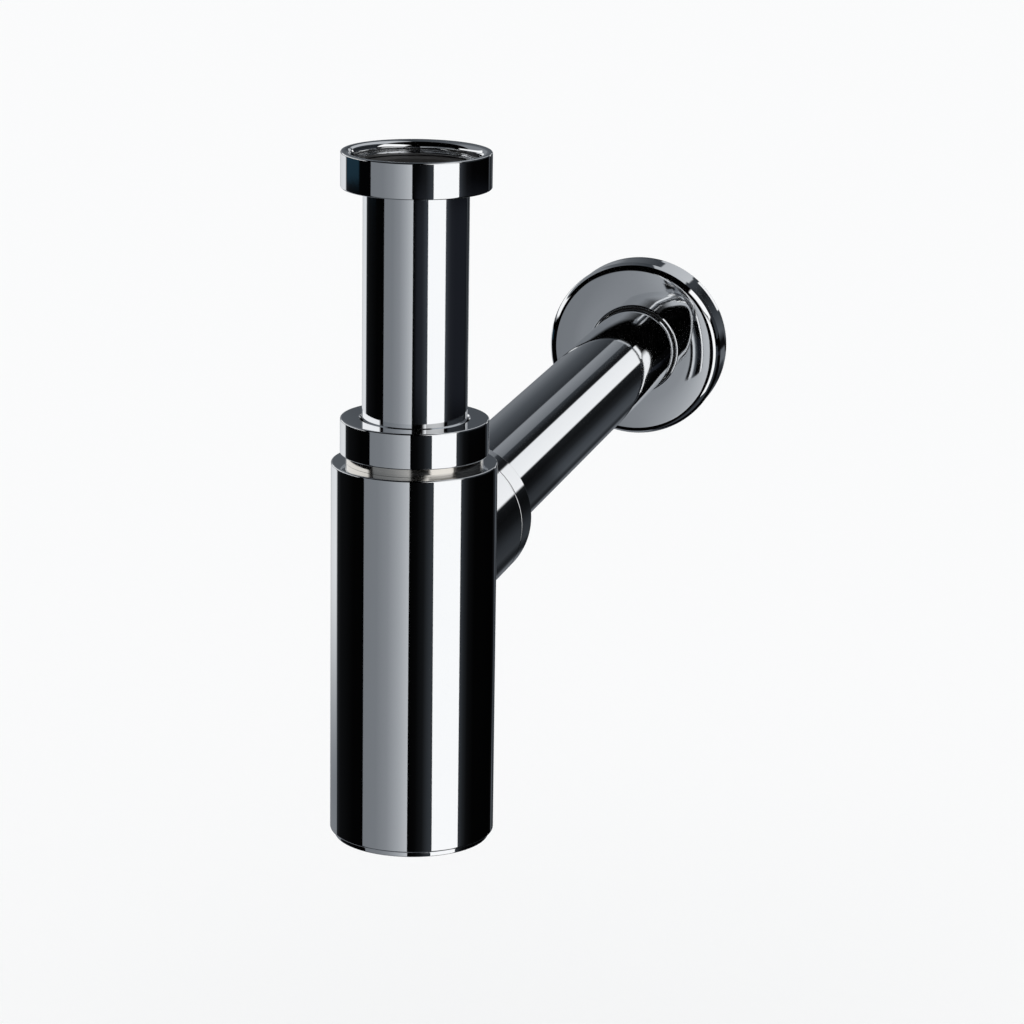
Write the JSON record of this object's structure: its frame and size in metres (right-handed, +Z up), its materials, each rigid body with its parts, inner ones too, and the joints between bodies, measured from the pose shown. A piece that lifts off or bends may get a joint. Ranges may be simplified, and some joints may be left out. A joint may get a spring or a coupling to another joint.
{
  "type": "bottle trap",
  "caption": "Chrome bottle trap for a wash basin: inlet tube with union nut, cylindrical bottle with clean-out cap, and a long horizontal outlet tube with a wall rosette.",
  "frame": {"origin": "centre of the inlet nut's open top face", "axes": "+Z up along the inlet axis, out of the nut; +Y along the outlet towards the wall"},
  "size_m": [0.0664, 0.3813, 0.2136],
  "materials": {
    "chrome": "polished bright chrome plating on brass",
    "nickel": "warm nickel plating, slightly satin",
    "rubber": "matt black rubber",
    "nylon": "natural nylon, matt"
  },
  "bodies": {
    "inlet": {"inlet_tube": "chrome", "inlet_washer": "rubber"},
    "inlet_union": {"inlet_nut": "chrome"},
    "inlet_grip": {"inlet_seal": "rubber"},
    "bottle": {"bottle_body": "chrome", "neck_bush": "nickel", "neck_ring": "rubber", "outlet_seal": "rubber"},
    "inlet_ring": {"inlet_slip_ring": "nylon"},
    "bottle_union": {"bottle_nut": "chrome"},
    "outlet_ring": {"outlet_slip_ring": "nylon"},
    "outlet_union": {"outlet_nut": "chrome"},
    "outlet": {"outlet_tube": "chrome"},
    "rosette": {"wall_rosette": "chrome", "rosette_grip_ring": "rubber"},
    "cap_ring": {"base_ring": "rubber"},
    "cap": {"base_cap": "chrome"}
  },
  "joints": [
    {"name": "inlet_nut_turn", "type": "hinge", "parent": "inlet", "child": "inlet_union", "pos_m": [0, 0, -0.0055], "axis": [0, 0, 1], "continuous": true},
    {"name": "height_adjust", "type": "slide", "parent": "inlet", "child": "inlet_grip", "axis": [0, 0, 1], "range_m": [-0.02, 0.01]},
    {"name": "bottle_swivel", "type": "hinge", "parent": "inlet_grip", "child": "bottle", "pos_m": [0, 0, -0.0951], "axis": [0, 0, 1], "continuous": true},
    {"name": "bottle_nut_rise", "type": "slide", "parent": "bottle", "child": "inlet_ring", "axis": [0, 0, 1], "range_m": [0, 0.00703]},
    {"name": "bottle_nut_turn", "type": "hinge", "parent": "inlet_ring", "child": "bottle_union", "pos_m": [0, 0, -0.0868], "axis": [0, 0, 1], "range_deg": [0, 1080]},
    {"name": "outlet_nut_rise", "type": "slide", "parent": "bottle", "child": "outlet_ring", "axis": [0, 1, 0], "range_m": [0, 0.00703]},
    {"name": "outlet_nut_turn", "type": "hinge", "parent": "outlet_ring", "child": "outlet_union", "pos_m": [0, 0.0505, -0.125], "axis": [0, 1, 0], "range_deg": [0, 1080]},
    {"name": "outlet_adjust", "type": "slide", "parent": "bottle", "child": "outlet", "axis": [0, 1, 0], "range_m": [-0.008, 0.009]},
    {"name": "rosette_slide", "type": "slide", "parent": "outlet", "child": "rosette", "axis": [0, 1, 0], "range_m": [-0.24, 0.02]},
    {"name": "cap_drop", "type": "slide", "parent": "bottle", "child": "cap_ring", "axis": [0, 0, -1], "range_m": [0, 0.0061]},
    {"name": "cap_turn", "type": "hinge", "parent": "cap_ring", "child": "cap", "pos_m": [0, 0, -0.2128], "axis": [0, 0, -1], "range_deg": [0, 1440]}
  ],
  "couplings": [
    {"joint": "bottle_nut_rise", "follows": "bottle_nut_turn", "m_per_rad": 0.00036749},
    {"joint": "outlet_nut_rise", "follows": "outlet_nut_turn", "m_per_rad": 0.00036749},
    {"joint": "cap_drop", "follows": "cap_turn", "m_per_rad": 0.00023873}
  ]
}
